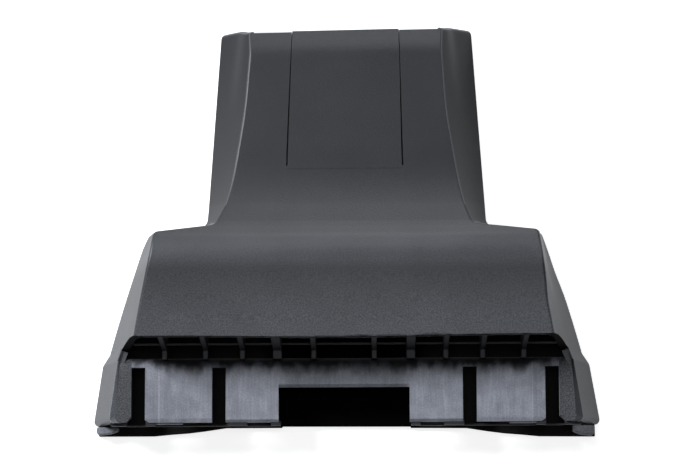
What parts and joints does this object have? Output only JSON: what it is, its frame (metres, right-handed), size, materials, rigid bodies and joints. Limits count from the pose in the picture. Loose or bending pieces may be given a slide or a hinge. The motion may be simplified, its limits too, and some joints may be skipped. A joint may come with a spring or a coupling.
{
  "type": "roof rack foot cover",
  "caption": "Moulded black plastic cover for the foot of a roof rack, with a narrow neck, a hinged tongue, a lipped base and a slotted plate under the lip.",
  "frame": {"origin": "middle of the box, on the plane of the rim that the cover lies on", "axes": "+X across the width, +Y towards the end of the narrow neck, +Z out of the face that shows when the cover is fitted"},
  "size_m": [0.1538, 0.125, 0.0375],
  "materials": {
    "cover_plastic": "fine-grained satin black"
  },
  "bodies": {
    "root": {"cover": "cover_plastic"}
  },
  "joints": []
}
